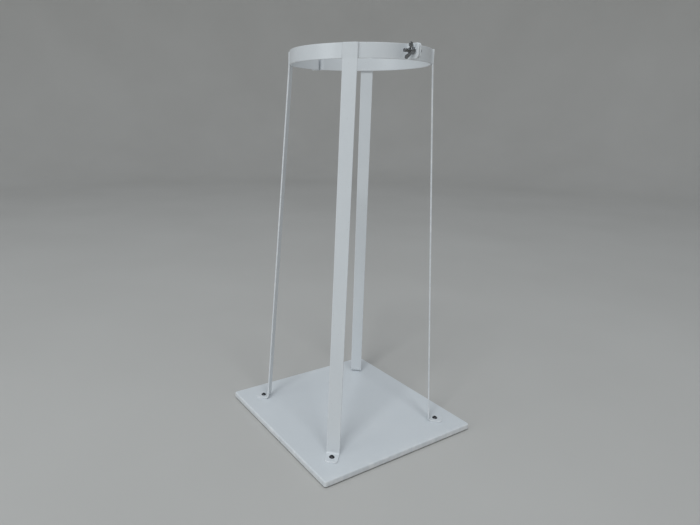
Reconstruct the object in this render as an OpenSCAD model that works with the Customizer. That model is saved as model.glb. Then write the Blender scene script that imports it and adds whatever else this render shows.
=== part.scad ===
// Display stand: a square base, four strap legs and a two-piece clamp ring closed by a wing nut.
// Millimetres. The origin is on the floor under the middle of the base, +Z is up, and the
// wing-nut clamp faces -Y. The legs stand on the diagonals of the base.

/* [Base] */
// Side of the square base board
board_w = 365; // [300:5:600]
// Thickness of the base board
board_t = 12; // [10:0.5:25]
// Radius of the board's eased edges
board_edge_r = 2.5; // [1:0.5:4]
// Radius of the board's corners seen from above
board_corner_r = 5; // [5:1:20]
// Diameter of the rubber pads
pad_d = 22; // [12:1:24]
// Thickness of the rubber pads
pad_t = 2; // [1:0.5:6]
// Distance from the board's sides to the middle of each pad
pad_inset = 22; // [14:1:26]

/* [Legs] */
// Width of the leg strap
strap_w = 25; // [20:1:40]
// Thickness of the leg strap
strap_t = 3; // [2:0.5:5]
// Distance from the board's sides to each foot screw
foot_inset = 49.5; // [45:0.5:60]
// Length of the foot beyond its screw
foot_toe = 15; // [11:1:25]
// Distance from the foot screw back to the face of the leg
foot_heel = 11.5; // [11:0.5:16]
// Radius of the rounded corners of the foot
foot_corner_r = 7; // [2:0.5:9]
// Inside radius of the bend between foot and leg
foot_bend_r = 5; // [1:0.5:5]

/* [Ring] */
// Height of the whole stand
stand_h = 750; // [300:10:1200]
// Inside diameter of the clamp ring
ring_d = 256; // [180:2:320]
// Height of the ring's band
band_h = 25; // [20:1:50]
// Thickness of the ring's band
band_t = 3; // [2:0.5:5]
// Gap between the ears of the wing-nut clamp
front_gap = 1; // [0.5:0.5:8]
// Gap between the ears of the rear clamp
rear_gap = 5; // [0.5:0.5:8]
// Length of the ears beyond the band
ear_l = 25; // [24:1:40]
// Distance from the band to the middle of the clamp bolts
ear_hole_offset = 15; // [15:0.5:17]
// Radius of the rounded corners of the ears
ear_corner_r = 6; // [1:0.5:9]
// Inside radius of the bend between band and ear
ear_bend_r = 3; // [1:0.5:5]
// Size of the weld beads between legs and band
weld_size = 2; // [1.5:0.25:3]

/* [Fasteners] */
// Thread diameter of every screw, bolt and nut
thread_d = 6; // [5:0.5:8]
// Length of the foot screws under the head
foot_screw_l = 12; // [12:1:16]
// Length of the front clamp bolt under the head
clamp_bolt_l = 30; // [30:1:45]
// Length of the rear clamp bolt under the head
rear_bolt_l = 25; // [25:1:35]
// Tip-to-tip span of the wing nut
wing_span = 28; // [24:0.5:28.5]
// Turn of the wings away from upright
wing_turn = 22; // [0:1:90]
// Thickness of the washers
washer_t = 1.6; // [1:0.2:2]

/* [Hidden] */
$fn = 96;
ring_fn = 360;

// Clearances
thread_gap = 0.05;
hole_gap = 0.3;
washer_gap = 0.2;
seat_gap = 0.05;
weld_root_gap = 0.05;
overshoot = 1;

// A bend is thinner than its strap by this much on each face, as bent bar is, and its ends
// reach this many degrees into the straps, which lap it by a short length
bend_thinning = 0.05;
bend_reach = 5;
strap_lap = 0.2;

// Heights
board_top = pad_t + board_t;
foot_top = board_top + strap_t;
ring_z = stand_h - band_h;
ring_mid_z = stand_h - band_h / 2;

// Radii of the ring, and of the leg tops that stand against it
ring_r = ring_d / 2;
band_out_r = ring_r + band_t;
leg_in_r = band_out_r + weld_root_gap;
leg_out_r = leg_in_r + strap_t;

// Leg outline in its own radial plane, as [distance from the stand's axis, height]
foot_screw_r = (board_w / 2 - foot_inset) * sqrt(2);
toe_r = foot_screw_r + foot_toe;
heel_point = [foot_screw_r - foot_heel, foot_top];
kink_point = [leg_out_r, ring_z];
lean = atan2(heel_point.x - kink_point.x, kink_point.y - heel_point.y);
face_normal = [cos(lean), sin(lean)];
foot_bend_c = heel_point + foot_bend_r * [(1 - sin(lean)) / cos(lean), 1];
shank_end_c = foot_bend_c + strap_lap * [sin(lean), -cos(lean)];
shank_outer_end = shank_end_c - foot_bend_r * face_normal;
shank_inner_end = shank_end_c - (foot_bend_r + strap_t) * face_normal;
inner_kink = kink_point - strap_t * [1, tan(lean / 2)];

// Directions of the legs round the stand's axis
front_angle = 225;
right_angle = 315;
back_angle = 45;
left_angle = 135;

// Fastener proportions, from the thread diameter
thread_r = thread_d / 2;
nut_bore_r = thread_r + thread_gap;
bolt_hole_r = thread_r + hole_gap;
hex_af = thread_d * 10 / 6;
bolt_head_h = thread_d * 4 / 6;
bolt_tip_chamfer = thread_d / 10;
washer_r = thread_d;
lock_nut_h = thread_d;
lock_nut_collar_h = thread_d / 5;
button_head_r = thread_d * 5.25 / 6;
button_head_h = thread_d * 3.3 / 6;
button_socket_af = thread_d * 4 / 6;
button_socket_depth = thread_d / 3;

// Tee nut
tee_flange_r = thread_d * 9.5 / 6;
tee_flange_t = 1.5;
tee_barrel_r = thread_r + 1;
tee_barrel_h = 9;
tee_prong_w = 2.5;
tee_prong_t = 1;
tee_prong_h = 5;
tee_prong_count = 4;

// Wing nut, with its own +Z along the bolt, away from the ears
wing_hub_base_r = thread_d;
wing_hub_top_r = thread_d * 5 / 6;
wing_hub_h = thread_d * 8 / 6;
wing_t = 2.4;
wing_tuck = 0.03;
wing_root_r = 3.5;
wing_tip_r = 4;
wing_root_c = [2.5, wing_root_r];
wing_tip_c = [wing_span / 2 - wing_tip_r, 9.5];

// Clamp bolts
front_ear_face = front_gap / 2 + band_t;
rear_ear_face = rear_gap / 2 + band_t;
bolt_y = band_out_r + ear_hole_offset;

// How far the weld beads reach in behind the edge of the strap
weld_depth = 1.5;

white = [0.92, 0.93, 0.95];
dark = [0.12, 0.12, 0.13];
steel = [0.72, 0.73, 0.75];
bright = [0.83, 0.84, 0.86];
rubber = [0.1, 0.1, 0.1];

// ---- Shared shapes ----

// Flat plate along -X from its far edge at the origin, centred on Y, with that edge's corners rounded
module round_ended_plate(l, w, t, r) {
    translate([-l, -w / 2, 0])
        cube([l - r, w, t]);
    translate([-l, r - w / 2, 0])
        cube([l, w - 2 * r, t]);
    for (side = [-1, 1])
        translate([-r, side * (w / 2 - r), 0])
            cylinder(r = r, h = t);
}

// Bar along X, centred on X and Y, with its four long edges rounded
module eased_bar(l, w, t, r) {
    translate([-l / 2, r - w / 2, 0])
        cube([l, w - 2 * r, t]);
    translate([-l / 2, -w / 2, r])
        cube([l, w, t - 2 * r]);
    for (side = [-1, 1])
        for (z = [r, t - r])
            translate([-l / 2, side * (w / 2 - r), z])
                rotate([0, 90, 0])
                    cylinder(r = r, h = l);
}

// Square block with its four upright edges rounded
module corner_rounded_block(w, t, r) {
    for (turn = [0, 90])
        rotate([0, 0, turn])
            translate([-w / 2, r - w / 2, 0])
                cube([w, w - 2 * r, t]);
    for (x = [-1, 1])
        for (y = [-1, 1])
            translate([x * (w / 2 - r), y * (w / 2 - r), 0])
                cylinder(r = r, h = t);
}

// Arc of rectangular section round the Z axis, from one angle to another
module arc_wall(r, t, h, from, to, fn = $fn) {
    rotate_extrude(start = from, angle = to - from, $fn = fn)
        translate([r, 0])
            square([t, h]);
}

// Bend of a strap round the Z axis, between the angles where its straight runs begin
module strap_bend(r, t, h, from, to) {
    arc_wall(r + bend_thinning, t - 2 * bend_thinning, h, from - bend_reach, to + bend_reach);
}

// Plate with two round ends, at c1 and c2, whose sides are tucked just inside their tangents
module tapered_plate(c1, r1, c2, r2, t, tuck) {
    run = c2 - c1;
    heading = atan2(run.y, run.x);
    spread = acos((r1 - r2) / norm(run));
    up = [cos(heading + spread), sin(heading + spread)];
    down = [cos(heading - spread), sin(heading - spread)];
    linear_extrude(t)
        polygon([
            c1 + (r1 - tuck) * up,
            c1 + (r1 - tuck) * down,
            c2 + (r2 - tuck) * down,
            c2 + (r2 - tuck) * up
        ]);
    translate([c1.x, c1.y, 0])
        cylinder(r = r1, h = t);
    translate([c2.x, c2.y, 0])
        cylinder(r = r2, h = t);
}

// Hexagonal prism by its width across flats
module hex_prism(af, h) {
    cylinder(d = af / cos(30), h = h, $fn = 6);
}

// Places a child at one foot screw, turned so that its +X points away from the stand's axis
module at_foot(angle) {
    rotate([0, 0, angle])
        translate([foot_screw_r, 0, 0])
            children();
}

// Stands a child's +Z along +X at a clamp bolt; side is -1 for the front clamp, 1 for the rear
module at_clamp(side, x) {
    translate([x, side * bolt_y, ring_mid_z])
        rotate([0, 90, 0])
            children();
}

// ---- Base ----

module tee_nut_solid() {
    cylinder(r = tee_flange_r, h = tee_flange_t);
    cylinder(r = tee_barrel_r, h = tee_barrel_h);
    for (i = [0 : tee_prong_count - 1])
        rotate([0, 0, i * 360 / tee_prong_count])
            translate([tee_flange_r - tee_prong_t - 0.5, -tee_prong_w / 2, 0])
                cube([tee_prong_t, tee_prong_w, tee_flange_t + tee_prong_h]);
}

module base_board() {
    color(white)
        difference() {
            translate([0, 0, pad_t])
                intersection() {
                    corner_rounded_block(board_w, board_t, board_corner_r);
                    eased_bar(board_w, board_w, board_t, board_edge_r);
                    rotate([0, 0, 90])
                        eased_bar(board_w, board_w, board_t, board_edge_r);
                }
            for (angle = [front_angle, right_angle, back_angle, left_angle])
                at_foot(angle)
                    translate([0, 0, pad_t]) {
                        tee_nut_solid();
                        cylinder(r = tee_barrel_r, h = board_t + overshoot);
                    }
        }
}

module rubber_pad(angle) {
    pad_r = (board_w / 2 - pad_inset) * sqrt(2);
    color(rubber)
        rotate([0, 0, angle])
            translate([pad_r, 0, 0])
                cylinder(d = pad_d, h = pad_t);
}

module tee_nut(angle) {
    color(steel)
        at_foot(angle)
            translate([0, 0, pad_t])
                difference() {
                    tee_nut_solid();
                    translate([0, 0, -overshoot])
                        cylinder(r = nut_bore_r, h = tee_barrel_h + 2 * overshoot);
                }
}

module foot_screw(angle) {
    dome_r = (pow(button_head_r, 2) + pow(button_head_h, 2)) / (2 * button_head_h);
    color(dark)
        at_foot(angle)
            translate([0, 0, foot_top])
                difference() {
                    union() {
                        intersection() {
                            translate([0, 0, button_head_h - dome_r])
                                sphere(r = dome_r);
                            cylinder(r = button_head_r, h = button_head_h);
                        }
                        translate([0, 0, -foot_screw_l])
                            cylinder(r = thread_r, h = foot_screw_l);
                    }
                    translate([0, 0, button_head_h - button_socket_depth])
                        hex_prism(button_socket_af, button_socket_depth + overshoot);
                }
}

// ---- Legs ----

// Strap from its foot, flat on the board, up to the ring, in the plane X and Z
module leg_strap() {
    rotate([90, 0, 0]) {
        linear_extrude(strap_w, center = true)
            polygon([
                [leg_out_r, stand_h],
                [leg_in_r, stand_h],
                inner_kink,
                shank_inner_end,
                shank_outer_end,
                kink_point
            ]);
        translate([foot_bend_c.x, foot_bend_c.y, -strap_w / 2])
            strap_bend(foot_bend_r, strap_t, strap_w, 180 + lean, 270);
    }
    translate([toe_r, 0, board_top])
        round_ended_plate(toe_r - foot_bend_c.x + strap_lap, strap_w, strap_t, foot_corner_r);
}

module leg(angle) {
    color(white)
        difference() {
            rotate([0, 0, angle])
                leg_strap();
            at_foot(angle)
                translate([0, 0, board_top - overshoot])
                    cylinder(r = bolt_hole_r, h = strap_t + 2 * overshoot);
        }
}

// Two beads, one along each side of the leg's top, that fill the wedge between strap and band
module leg_weld(angle) {
    bead_start = strap_w / 2 - weld_depth;
    bead_end = strap_w / 2 + weld_size;
    inside_band = band_out_r - band_t / 2;
    color(white)
        rotate([0, 0, angle])
            for (side = [-1, 1])
                difference() {
                    translate([0, 0, ring_z])
                        linear_extrude(band_h)
                            polygon([
                                [inside_band, side * bead_start],
                                [leg_in_r, side * bead_start],
                                [leg_in_r, side * strap_w / 2],
                                [leg_in_r + weld_size, side * strap_w / 2],
                                [sqrt(pow(band_out_r, 2) - pow(bead_end, 2)), side * bead_end],
                                [inside_band, side * bead_end]
                            ]);
                    translate([0, 0, ring_z - overshoot])
                        cylinder(r = band_out_r, h = band_h + 2 * overshoot, $fn = ring_fn);
                }
}

// ---- Ring ----

// How far round the ring an ear's bend starts from the middle of its gap
function bend_angle(gap) =
    asin((gap / 2 + band_t + ear_bend_r) / (band_out_r + ear_bend_r));

// Bend and ear at the end of the band on the -X side of the front gap
module ear(gap) {
    bend_c_y = -(band_out_r + ear_bend_r) * cos(bend_angle(gap));
    tip_y = -(band_out_r + ear_l);
    translate([-(gap / 2 + band_t + ear_bend_r), bend_c_y, 0])
        strap_bend(ear_bend_r, band_t, band_h, 0, 90 - bend_angle(gap));
    difference() {
        translate([-gap / 2, tip_y, band_h / 2])
            rotate([0, 0, -90])
                rotate([90, 0, 0])
                    round_ended_plate(bend_c_y - tip_y + strap_lap, band_h, band_t, ear_corner_r);
        translate([-gap / 2 - band_t - overshoot, -bolt_y, band_h / 2])
            rotate([0, 90, 0])
                cylinder(r = bolt_hole_r, h = band_t + 2 * overshoot);
    }
}

// Half of the ring on the -X side
module ring_half() {
    lap = strap_lap / band_out_r * 180 / PI;
    rear_end = 90 + bend_angle(rear_gap) - lap;
    front_end = 270 - bend_angle(front_gap) + lap;
    color(white)
        translate([0, 0, ring_z]) {
            arc_wall(ring_r, band_t, band_h, rear_end, front_end, ring_fn);
            ear(front_gap);
            mirror([0, 1, 0])
                ear(rear_gap);
        }
}

// ---- Clamp hardware ----

// Hexagon bolt, its head upwards from the origin and its shank downwards
module hex_bolt(l) {
    color(steel) {
        hex_prism(hex_af, bolt_head_h);
        translate([0, 0, bolt_tip_chamfer - l])
            cylinder(r = thread_r, h = l - bolt_tip_chamfer);
        translate([0, 0, -l])
            cylinder(r1 = thread_r - bolt_tip_chamfer, r2 = thread_r, h = bolt_tip_chamfer);
    }
}

module washer() {
    color(steel)
        difference() {
            cylinder(r = washer_r, h = washer_t);
            translate([0, 0, -overshoot])
                cylinder(r = thread_r + washer_gap, h = washer_t + 2 * overshoot);
        }
}

// Hexagon lock nut with a round collar, upwards from the origin
module lock_nut() {
    color(steel)
        difference() {
            union() {
                hex_prism(hex_af, lock_nut_h - lock_nut_collar_h);
                cylinder(r = hex_af / 2 - 0.4, h = lock_nut_h);
            }
            translate([0, 0, -overshoot])
                cylinder(r = nut_bore_r, h = lock_nut_h + 2 * overshoot);
        }
}

// Wing nut, its seat at the origin and its wings along X
module wing_nut_solid() {
    difference() {
        union() {
            cylinder(r1 = wing_hub_base_r, r2 = wing_hub_top_r, h = wing_hub_h);
            for (turn = [0, 180])
                rotate([0, 0, turn])
                    rotate([90, 0, 0])
                        translate([0, 0, -wing_t / 2])
                            tapered_plate(
                                wing_root_c, wing_root_r, wing_tip_c, wing_tip_r, wing_t, wing_tuck
                            );
        }
        translate([0, 0, -overshoot])
            cylinder(r = nut_bore_r, h = wing_tip_c.y + wing_tip_r + 2 * overshoot);
    }
}

module clamp_bolt() {
    at_clamp(-1, front_ear_face + washer_t)
        hex_bolt(clamp_bolt_l);
}

module clamp_head_washer() {
    at_clamp(-1, front_ear_face)
        washer();
}

module clamp_nut_washer() {
    at_clamp(-1, -front_ear_face - seat_gap - washer_t)
        washer();
}

module wing_nut() {
    color(bright)
        translate([-front_ear_face - 2 * seat_gap - washer_t, -bolt_y, ring_mid_z])
            rotate([0, -90, 0])
                rotate([0, 0, -wing_turn])
                    wing_nut_solid();
}

module rear_bolt() {
    at_clamp(1, rear_ear_face + washer_t)
        hex_bolt(rear_bolt_l);
}

module rear_head_washer() {
    at_clamp(1, rear_ear_face)
        washer();
}

module rear_nut_washer() {
    at_clamp(1, -rear_ear_face - washer_t)
        washer();
}

module rear_nut() {
    at_clamp(1, -rear_ear_face - washer_t)
        mirror([0, 0, 1])
            lock_nut();
}

base_board();
rubber_pad(front_angle);  // rubber_pad_front
rubber_pad(right_angle);  // rubber_pad_right
rubber_pad(back_angle);  // rubber_pad_back
rubber_pad(left_angle);  // rubber_pad_left
tee_nut(front_angle);  // tee_nut_front
tee_nut(right_angle);  // tee_nut_right
tee_nut(back_angle);  // tee_nut_back
tee_nut(left_angle);  // tee_nut_left
foot_screw(front_angle);  // foot_screw_front
foot_screw(right_angle);  // foot_screw_right
foot_screw(back_angle);  // foot_screw_back
foot_screw(left_angle);  // foot_screw_left
leg(front_angle);  // leg_front
leg(right_angle);  // leg_right
leg(back_angle);  // leg_back
leg(left_angle);  // leg_left
leg_weld(front_angle);  // leg_weld_front
leg_weld(right_angle);  // leg_weld_right
leg_weld(back_angle);  // leg_weld_back
leg_weld(left_angle);  // leg_weld_left
ring_half();  // ring_half_left
mirror([1, 0, 0]) ring_half();  // ring_half_right
clamp_bolt();
clamp_head_washer();
clamp_nut_washer();
wing_nut();
rear_bolt();
rear_head_washer();
rear_nut_washer();
rear_nut();
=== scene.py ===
"""Looks of the clamp-ring display stand. Sizes are in millimetres in the makers and in metres in Blender."""

import math
from math import cos, pi, radians, sin, sqrt, tan

import bmesh
import bpy
from mathutils import Matrix, Vector


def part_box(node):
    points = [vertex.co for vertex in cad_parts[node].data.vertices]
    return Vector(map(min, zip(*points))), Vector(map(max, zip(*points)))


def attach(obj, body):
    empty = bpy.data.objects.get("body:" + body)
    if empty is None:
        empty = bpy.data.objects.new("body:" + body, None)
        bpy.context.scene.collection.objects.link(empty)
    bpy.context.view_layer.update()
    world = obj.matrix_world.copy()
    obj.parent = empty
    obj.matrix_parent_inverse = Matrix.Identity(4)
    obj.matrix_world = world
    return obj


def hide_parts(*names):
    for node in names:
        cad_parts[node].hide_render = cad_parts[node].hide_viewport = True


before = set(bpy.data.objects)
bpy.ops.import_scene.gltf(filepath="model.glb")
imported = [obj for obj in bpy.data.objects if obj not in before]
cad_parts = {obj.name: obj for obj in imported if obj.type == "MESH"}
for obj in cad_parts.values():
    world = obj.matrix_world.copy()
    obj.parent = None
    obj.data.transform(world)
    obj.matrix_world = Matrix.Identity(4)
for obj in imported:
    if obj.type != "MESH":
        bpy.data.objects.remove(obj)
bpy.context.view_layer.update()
MM = 0.001

# ---- Sizes, the same as the CAD model's ----

BOARD_W = 365.0
BOARD_T = 12.0
BOARD_EDGE_R = 2.5
BOARD_CORNER_R = 5.0
PAD_T = 2.0
PAD_R = 11.0
PAD_INSET = 22.0
STRAP_W = 25.0
STRAP_T = 3.0
FOOT_INSET = 49.5
FOOT_TOE = 15.0
FOOT_HEEL = 11.5
FOOT_CORNER_R = 7.0
FOOT_BEND_R = 5.0
STAND_H = 750.0
RING_R = 128.0
BAND_H = 25.0
BAND_T = 3.0
FRONT_GAP = 1.0
REAR_GAP = 5.0
EAR_L = 25.0
EAR_HOLE_OFFSET = 15.0
EAR_CORNER_R = 6.0
EAR_BEND_R = 3.0
WELD_SIZE = 2.0
WELD_DEPTH = 1.5
WELD_ROOT_GAP = 0.05
SEAT_GAP = 0.05
THREAD_R = 3.0
THREAD_PITCH = 1.0
THREAD_DEPTH = 0.61
NUT_BORE_R = 3.05
BOLT_HOLE_R = 3.3
HEX_AF = 10.0
BOLT_HEAD_H = 4.0
WASHER_R = 6.0
WASHER_BORE_R = 3.2
WASHER_T = 1.6
LOCK_NUT_H = 6.0
LOCK_NUT_COLLAR_H = 1.2
CLAMP_BOLT_L = 30.0
REAR_BOLT_L = 25.0
FOOT_SCREW_L = 12.0
BUTTON_HEAD_R = 5.25
BUTTON_HEAD_H = 3.3
BUTTON_SOCKET_AF = 4.0
BUTTON_SOCKET_DEPTH = 2.0
TEE_FLANGE_R = 9.5
TEE_FLANGE_T = 1.5
TEE_BARREL_R = 4.0
TEE_BARREL_H = 9.0
TEE_PRONG_W = 2.5
TEE_PRONG_T = 1.0
TEE_PRONG_H = 5.0
WING_HUB_BASE_R = 6.0
WING_HUB_TOP_R = 5.0
WING_HUB_H = 8.0
WING_T = 2.4
WING_ROOT_R = 3.5
WING_TIP_R = 4.0
WING_ROOT_C = (2.5, 3.5)
WING_TIP_C = (10.0, 9.5)
WING_TURN = 22.0

BOARD_TOP = PAD_T + BOARD_T
FOOT_TOP = BOARD_TOP + STRAP_T
RING_Z = STAND_H - BAND_H
RING_MID_Z = STAND_H - BAND_H / 2
BAND_OUT_R = RING_R + BAND_T
LEG_IN_R = BAND_OUT_R + WELD_ROOT_GAP
LEG_OUT_R = LEG_IN_R + STRAP_T
FOOT_SCREW_R = (BOARD_W / 2 - FOOT_INSET) * sqrt(2)
TOE_R = FOOT_SCREW_R + FOOT_TOE
BOLT_Y = BAND_OUT_R + EAR_HOLE_OFFSET
FRONT_EAR_FACE = FRONT_GAP / 2 + BAND_T
REAR_EAR_FACE = REAR_GAP / 2 + BAND_T

LEG_ANGLES = {"front": 225, "right": 315, "back": 45, "left": 135}

# ---- Sizes of details that the CAD model leaves out ----

# Lengths are in millimetres. HAIR keeps apart surfaces that touch in the CAD model.

SIZE_TOLERANCE = 0.1
HAIR = 0.02
STRAP_EASE = 0.7
EASE_STEPS = (0, 0.02, 0.08, 0.18, 0.32, 0.5, 0.72, 1)
EASE_MARGIN = 0.3
# How far in from an edge the paint is lightened: partly wear, partly a painted edge highlight.
EASE_WEAR_AND_SHEEN = 1.6
LONG_ARC = 50.0
LONG_ARC_STEP = 2.0
BEND_STEP = 7.0
SMALLEST_STEP = 0.004
CREASE_ANGLE = radians(40)
KINK_R = 30.0
LEG_TOP_CORNER_R = STRAP_EASE * 1.5
HEX_CORNER_CUT = 0.12
HEX_CHAMFER_INSET = 0.25
HEX_CHAMFER_SLOPE = tan(radians(30))
THREAD_CREST = 0.12
THREAD_FLANK = 0.66
PAD_FACE_Z = 0.12
PAD_GROOVE_Z = 0.3
PAD_GROOVES = (3.2, 5.4, 7.6)
PAD_BOTTOM_EDGE_R = 0.6
PAD_TOP_EDGE_R = 0.35
TEE_NOTCH = radians(9)
TEE_NOTCH_DEPTH = 1.6
TEE_PRONG_INSET = 0.5
TEE_POINT_W = 0.7
SCREW_TURN_SHARE = 0.73
WASHER_ROLLED_R = 0.3
WASHER_BORE_ROLLED_R = 0.25
WASHER_SHARP_R = 0.12
WELD_ROWS = 126
WELD_FACE_STEPS = 9
WELD_END = 1.6
WELD_CROWN = 0.1
WELD_RIPPLE = 0.11
WELD_RIPPLE_PITCH = 1.7
WELD_OUTWARD = Vector((0.72, 0.69))
WING_FACE_SHARE = 0.7975
WING_EDGE_LEVEL = 0.72
WING_ROOT_LEVEL = 1.12
WING_TAPER = 0.3
WING_TAPER_START = 4
WING_TAPER_L = 9
WING_VOXEL = 0.22

# ---- Floor ----

FLOOR_FLAT_R = 4200.0
FLOOR_CURVE_R = 1800.0
FLOOR_TOP = 3600.0


def check_sizes():
    """Stops the script if the board, the left ring half or the clamp bolt no longer has the sizes above."""
    expected = {
        "base_board": ((-BOARD_W / 2, -BOARD_W / 2, PAD_T), (BOARD_W / 2, BOARD_W / 2, BOARD_TOP)),
        "ring_half_left": (
            (-BAND_OUT_R, -BAND_OUT_R - EAR_L, RING_Z),
            (-FRONT_GAP / 2, BAND_OUT_R + EAR_L, STAND_H),
        ),
        "clamp_bolt": (
            (FRONT_EAR_FACE + WASHER_T - CLAMP_BOLT_L, None, None),
            (FRONT_EAR_FACE + WASHER_T + BOLT_HEAD_H, None, None),
        ),
    }
    for node, corners in expected.items():
        for got, want in zip(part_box(node), corners):
            for a, b in zip(got, want):
                if b is not None and abs(a - b * MM) > SIZE_TOLERANCE * MM:
                    raise ValueError(f"{node} measures {a / MM:.2f} where {b:.2f} was expected")


# ---- Meshes ----


def make_object(name, points, faces, material, body, replaced=(), edges=None):
    """Object from points in millimetres. edges gives each point's nearness to an edge, 0 to 1."""
    mesh = bpy.data.meshes.new(name)
    mesh.from_pydata([Vector(p) * MM for p in points], [], faces)
    if edges is not None:
        # Edge nearness that the finishes use for worn edges and a painted edge highlight.
        edge_sheen_mask = mesh.attributes.new("edge", "FLOAT", "POINT")
        edge_sheen_mask.data.foreach_set("value", edges)
    bm = bmesh.new()
    bm.from_mesh(mesh)
    bmesh.ops.recalc_face_normals(bm, faces=bm.faces)
    bm.to_mesh(mesh)
    bm.free()
    mesh.shade_smooth()
    mesh.materials.append(material)
    obj = bpy.data.objects.new(name, mesh)
    bpy.context.scene.collection.objects.link(obj)
    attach(obj, body)
    if replaced:
        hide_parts(*replaced)
    return obj


def settle(obj):
    """Replaces an object's mesh with what its modifiers make of it."""
    evaluated = obj.evaluated_get(bpy.context.evaluated_depsgraph_get())
    mesh = bpy.data.meshes.new_from_object(evaluated)
    obj.modifiers.clear()
    obj.data = mesh


def cut_holes(obj, cutters):
    """Cuts round holes, each given as (centre, axis, radius, length) in millimetres."""
    for centre, axis, radius, length in cutters:
        bm = bmesh.new()
        turn = Vector((0, 0, 1)).rotation_difference(Vector(axis)).to_matrix().to_4x4()
        place = Matrix.Translation(Vector(centre) * MM) @ turn
        bmesh.ops.create_cone(
            bm,
            cap_ends=True,
            segments=64,
            radius1=radius * MM,
            radius2=radius * MM,
            depth=length * MM,
            matrix=place,
        )
        mesh = bpy.data.meshes.new("hole")
        bm.to_mesh(mesh)
        bm.free()
        cutter = bpy.data.objects.new("hole", mesh)
        bpy.context.scene.collection.objects.link(cutter)
        cut = obj.modifiers.new("hole", "BOOLEAN")
        cut.object = cutter
        cut.solver = "EXACT"
        settle(obj)
        bpy.data.objects.remove(cutter)
    obj.data.set_sharp_from_angle(angle=CREASE_ANGLE)


def grid_faces(rows, columns, wrap_rows=False, wrap_columns=False, first=0):
    """Quads between neighbouring rows and columns of points numbered row by row."""
    faces = []
    for i in range(rows if wrap_rows else rows - 1):
        below = first + i * columns
        above = first + (i + 1) % rows * columns
        for j in range(columns if wrap_columns else columns - 1):
            k = (j + 1) % columns
            faces.append((below + j, below + k, above + k, above + j))
    return faces


# ---- Straps: flat bar with eased edges, bent along a path ----


class Path:
    """Lines ("line", start, end) and arcs ("arc", centre, radius, from, to), joined end to end."""

    def __init__(self, segments):
        self.segments = segments
        self.lengths = [self.segment_length(s) for s in segments]
        self.length = sum(self.lengths)

    @staticmethod
    def segment_length(segment):
        if segment[0] == "line":
            return math.dist(segment[1], segment[2])
        return segment[2] * abs(radians(segment[4] - segment[3]))

    def at(self, distance):
        """Point and left-hand normal at a distance along the path."""
        for segment, length in zip(self.segments, self.lengths):
            if distance <= length or segment is self.segments[-1]:
                break
            distance -= length
        share = distance / length
        if segment[0] == "line":
            (x0, y0), (x1, y1) = segment[1:]
            heading = math.atan2(y1 - y0, x1 - x0)
            return (x0 + (x1 - x0) * share, y0 + (y1 - y0) * share), (-sin(heading), cos(heading))
        (cx, cy), radius, start, end = segment[1:]
        angle = radians(start + (end - start) * share)
        inward = 1 if end > start else -1
        point = (cx + radius * cos(angle), cy + radius * sin(angle))
        return point, (-inward * cos(angle), -inward * sin(angle))

    def stations(self, ease, start_r, end_r, step):
        """Distances along the path, close together at its ends and round its bends."""
        marks = set()
        for origin, direction, radius in ((0, 1, start_r), (self.length, -1, end_r)):
            near = [ease * s for s in EASE_STEPS] + [ease + EASE_MARGIN]
            near += [radius * (1 - cos(radians(a))) for a in range(10, 91, 8)]
            marks.update(origin + direction * n for n in near)
        begin = 0
        for segment, length in zip(self.segments, self.lengths):
            if segment[0] == "line":
                count = max(1, round(length / step))
            else:
                degrees = LONG_ARC_STEP if length > LONG_ARC else BEND_STEP
                count = max(4, round(abs(segment[4] - segment[3]) / degrees))
            marks.update(begin + length * i / count for i in range(count + 1))
            begin += length
        kept = []
        for mark in sorted(marks):
            if 0 <= mark <= self.length + 1e-6 and (not kept or mark - kept[-1] > SMALLEST_STEP):
                kept.append(min(mark, self.length))
        return kept


def rounded_polyline(points, radii):
    """Path segments along points, with an arc of each radius at each inner point."""
    segments = []
    start = Vector(points[0])
    for before, corner, after, radius in zip(points, points[1:], points[2:], radii):
        corner = Vector(corner)
        into = (corner - Vector(before)).normalized()
        out = (Vector(after) - corner).normalized()
        turn = into.angle_signed(out) * -1
        reach = radius * tan(abs(turn) / 2)
        side = 1 if turn > 0 else -1
        first = corner - into * reach
        centre = first + Vector((-into.y, into.x)) * side * radius
        begin = math.degrees(math.atan2(first.y - centre.y, first.x - centre.x))
        segments.append(("line", tuple(start), tuple(first)))
        segments.append(("arc", tuple(centre), radius, begin, begin + math.degrees(turn)))
        start = corner + out * reach
    segments.append(("line", tuple(start), tuple(points[-1])))
    return segments


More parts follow.
